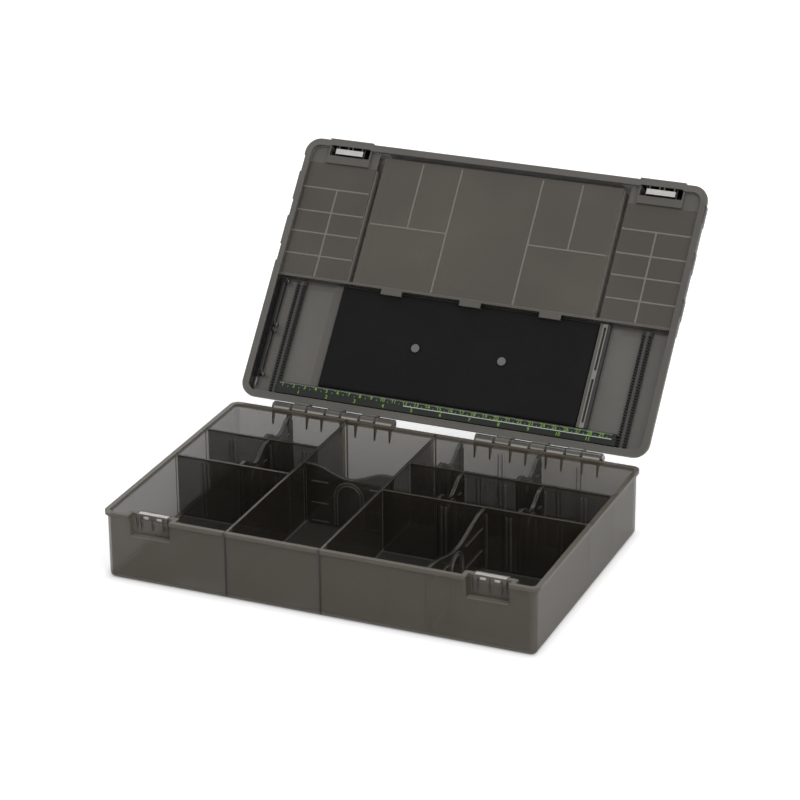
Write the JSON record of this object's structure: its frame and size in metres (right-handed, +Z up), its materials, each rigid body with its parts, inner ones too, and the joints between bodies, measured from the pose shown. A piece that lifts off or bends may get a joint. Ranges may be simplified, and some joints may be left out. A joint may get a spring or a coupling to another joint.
{
  "type": "fishing tackle box",
  "caption": "Flat tackle box with a divided tray, lift-out dividers and a hinged lid that holds a foam rig board inside and doored trays on top.",
  "frame": {"origin": "middle of the tray's underside", "axes": "+X along the hinge, +Y from the front towards the hinge, +Z up"},
  "size_m": [0.3564, 0.4037, 0.2386],
  "materials": {
    "smoke_plastic": "gloss",
    "pin_steel": "satin",
    "nickel": "polished",
    "foam": "matte",
    "button_grey": "satin",
    "comb_black": "satin",
    "ruler_black": "gloss"
  },
  "bodies": {
    "tray": {"base_tray": "smoke_plastic", "hinge_tray_left": "smoke_plastic", "hinge_tray_right": "smoke_plastic", "hinge_pin_left": "pin_steel", "hinge_pin_right": "pin_steel", "magnet_tray_left": "nickel", "magnet_tray_right": "nickel"},
    "lid": {"lid_shell": "smoke_plastic", "lid_rear": "smoke_plastic", "lid_step": "smoke_plastic", "hinge_lid_left": "smoke_plastic", "hinge_lid_right": "smoke_plastic", "lid_floor_left": "smoke_plastic", "lid_floor_centre": "smoke_plastic", "lid_floor_right": "smoke_plastic", "lid_grid_left": "smoke_plastic", "lid_grid_centre": "smoke_plastic", "lid_grid_right": "smoke_plastic", "door_pin_left": "pin_steel", "door_pin_centre": "pin_steel", "door_pin_right": "pin_steel", "magnet_lid_left": "nickel", "magnet_lid_right": "nickel", "rig_board": "smoke_plastic", "foam_pad": "foam", "foam_button_left": "button_grey", "foam_button_right": "button_grey", "comb_left": "comb_black", "comb_right": "comb_black", "tool_clip_rear": "comb_black", "tool_clip_front": "comb_black", "ruler_strip": "ruler_black"},
    "door_left": {"door_left": "smoke_plastic"},
    "door_centre": {"door_centre": "smoke_plastic"},
    "door_right": {"door_right": "smoke_plastic"},
    "divider_left_rear": {"divider_left_rear": "smoke_plastic"},
    "divider_left_mid": {"divider_left_mid": "smoke_plastic"},
    "divider_middle": {"divider_middle": "smoke_plastic"},
    "divider_right_rear_1": {"divider_right_rear_1": "smoke_plastic"},
    "divider_right_rear_2": {"divider_right_rear_2": "smoke_plastic"},
    "divider_right_mid_1": {"divider_right_mid_1": "smoke_plastic"},
    "divider_right_mid_2": {"divider_right_mid_2": "smoke_plastic"},
    "divider_right_front": {"divider_right_front": "smoke_plastic"}
  },
  "joints": [
    {"name": "lid_hinge", "type": "hinge", "parent": "tray", "child": "lid", "pos_m": [0, 0.1218, 0.0556], "axis": [-1, 0, 0], "range_deg": [-129.9, 0]},
    {"name": "door_left_hinge", "type": "hinge", "parent": "lid", "child": "door_left", "pos_m": [0, 0.20826, 0.12891], "axis": [-1, 0, 0], "range_deg": [0, 110]},
    {"name": "door_centre_hinge", "type": "hinge", "parent": "lid", "child": "door_centre", "pos_m": [0, 0.20826, 0.12891], "axis": [-1, 0, 0], "range_deg": [0, 110]},
    {"name": "door_right_hinge", "type": "hinge", "parent": "lid", "child": "door_right", "pos_m": [0, 0.20826, 0.12891], "axis": [-1, 0, 0], "range_deg": [0, 110]},
    {"name": "divider_left_rear_lift", "type": "slide", "parent": "tray", "child": "divider_left_rear", "axis": [0, 0, 1], "range_m": [0, 0.06]},
    {"name": "divider_left_mid_lift", "type": "slide", "parent": "tray", "child": "divider_left_mid", "axis": [0, 0, 1], "range_m": [0, 0.06]},
    {"name": "divider_middle_lift", "type": "slide", "parent": "tray", "child": "divider_middle", "axis": [0, 0, 1], "range_m": [0, 0.06]},
    {"name": "divider_right_rear_1_lift", "type": "slide", "parent": "tray", "child": "divider_right_rear_1", "axis": [0, 0, 1], "range_m": [0, 0.06]},
    {"name": "divider_right_rear_2_lift", "type": "slide", "parent": "tray", "child": "divider_right_rear_2", "axis": [0, 0, 1], "range_m": [0, 0.06]},
    {"name": "divider_right_mid_1_lift", "type": "slide", "parent": "tray", "child": "divider_right_mid_1", "axis": [0, 0, 1], "range_m": [0, 0.06]},
    {"name": "divider_right_mid_2_lift", "type": "slide", "parent": "tray", "child": "divider_right_mid_2", "axis": [0, 0, 1], "range_m": [0, 0.06]},
    {"name": "divider_right_front_lift", "type": "slide", "parent": "tray", "child": "divider_right_front", "axis": [0, 0, 1], "range_m": [0, 0.06]}
  ]
}
